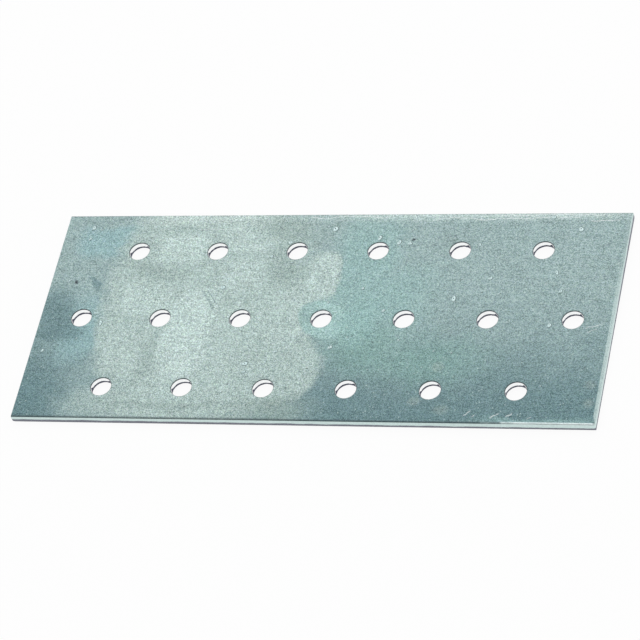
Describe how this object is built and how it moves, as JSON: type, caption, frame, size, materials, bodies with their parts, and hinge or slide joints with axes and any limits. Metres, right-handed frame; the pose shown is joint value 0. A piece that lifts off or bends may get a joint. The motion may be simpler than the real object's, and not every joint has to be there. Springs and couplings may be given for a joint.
{
  "type": "mending plate",
  "caption": "Flat perforated mending plate of galvanised steel, with staggered rows of round nail holes, for joining timbers side by side or end to end.",
  "frame": {"origin": "centre of the plate's 140 by 60 mm outline, on the back face that lies on the timber", "axes": "+X along the length, +Y across the width, +Z out of the front face, from which the holes were punched"},
  "size_m": [0.14, 0.06, 0.002],
  "materials": {
    "galvanised_steel": "cloudy satin zinc coating, grey-green, with fine grain and small dross pimples"
  },
  "bodies": {
    "root": {"plate": "galvanised_steel"}
  },
  "joints": []
}
